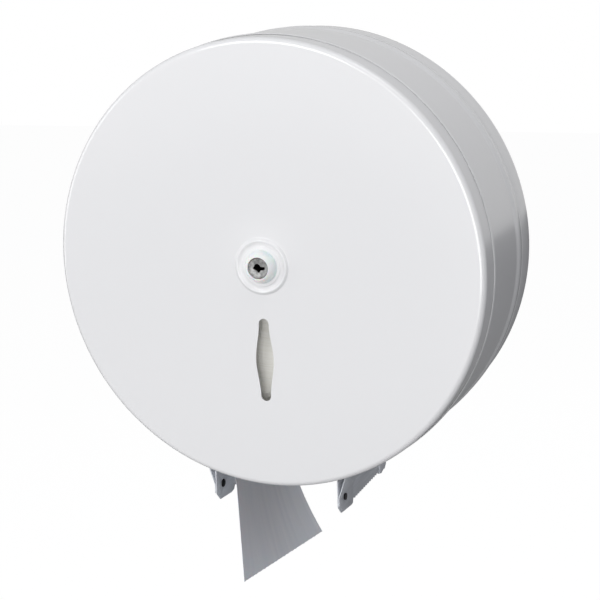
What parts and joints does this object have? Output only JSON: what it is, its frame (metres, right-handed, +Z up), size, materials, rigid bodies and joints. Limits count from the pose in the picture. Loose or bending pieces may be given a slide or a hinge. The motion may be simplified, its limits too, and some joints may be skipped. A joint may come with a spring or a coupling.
{
  "type": "jumbo toilet roll dispenser",
  "caption": "Round wall-mounted steel dispenser for a jumbo toilet roll, with a hinged lockable cover, sight window, serrated cutters and a roll on its spindle.",
  "frame": {"origin": "centre of the drum on the wall plane, which is the back plate's rear face", "axes": "+Z up, -Y out of the wall towards the user, +X to the right as seen from the front"},
  "size_m": [0.3143, 0.125, 0.3854],
  "materials": {
    "white_enamel": "smooth gloss white epoxy powder coat",
    "zinc_plated_steel": "bright zinc-plated steel",
    "black_steel": "blackened steel, satin",
    "nickel_plated_plug": "die-cast zinc, nickel-plated, fine turned face",
    "hub_plastic": "moulded grey plastic",
    "core_board": "spiral-wound grey-brown board",
    "roll_paper": "soft absorbent tissue"
  },
  "bodies": {
    "root": {"back_plate": "white_enamel", "spindle_foot": "zinc_plated_steel", "foot_rivets": "zinc_plated_steel", "spindle_post": "zinc_plated_steel", "rear_washer": "zinc_plated_steel", "front_washer": "zinc_plated_steel", "retaining_clip": "black_steel", "lock_keeper": "zinc_plated_steel", "keeper_screw": "black_steel", "hinge_leaf_fixed": "zinc_plated_steel", "hinge_rivets_fixed": "zinc_plated_steel", "hinge_pin": "black_steel", "paper_tail": "roll_paper"},
    "cover": {"cover_pan": "white_enamel", "cover_band": "white_enamel", "hinge_leaf_cover": "white_enamel", "hinge_rivets_cover": "white_enamel", "cheek_left": "white_enamel", "cheek_right": "white_enamel", "cutter_left": "white_enamel", "cutter_right": "white_enamel", "cutter_rivets_left": "black_steel", "cutter_rivets_right": "black_steel", "lock_nose": "white_enamel", "lock_barrel": "zinc_plated_steel", "lock_nut": "zinc_plated_steel"},
    "lock": {"lock_plug": "nickel_plated_plug", "lock_cam": "zinc_plated_steel", "cam_nut": "black_steel"},
    "roll": {"hub_bearing": "hub_plastic", "hub_sleeve": "hub_plastic", "roll_core": "core_board", "paper_roll": "roll_paper"}
  },
  "joints": [
    {"name": "cover_swing", "type": "hinge", "parent": "root", "child": "cover", "pos_m": [-0.1573, -0.004, 0], "axis": [0, 0, -1], "range_deg": [0, 92]},
    {"name": "lock_turn", "type": "hinge", "parent": "cover", "child": "lock", "pos_m": [0, -0.1, 0.002], "axis": [0, 1, 0], "range_deg": [0, 90]},
    {"name": "roll_spin", "type": "hinge", "parent": "root", "child": "roll", "pos_m": [0, -0.05, 0.002], "axis": [0, -1, 0], "continuous": true}
  ]
}
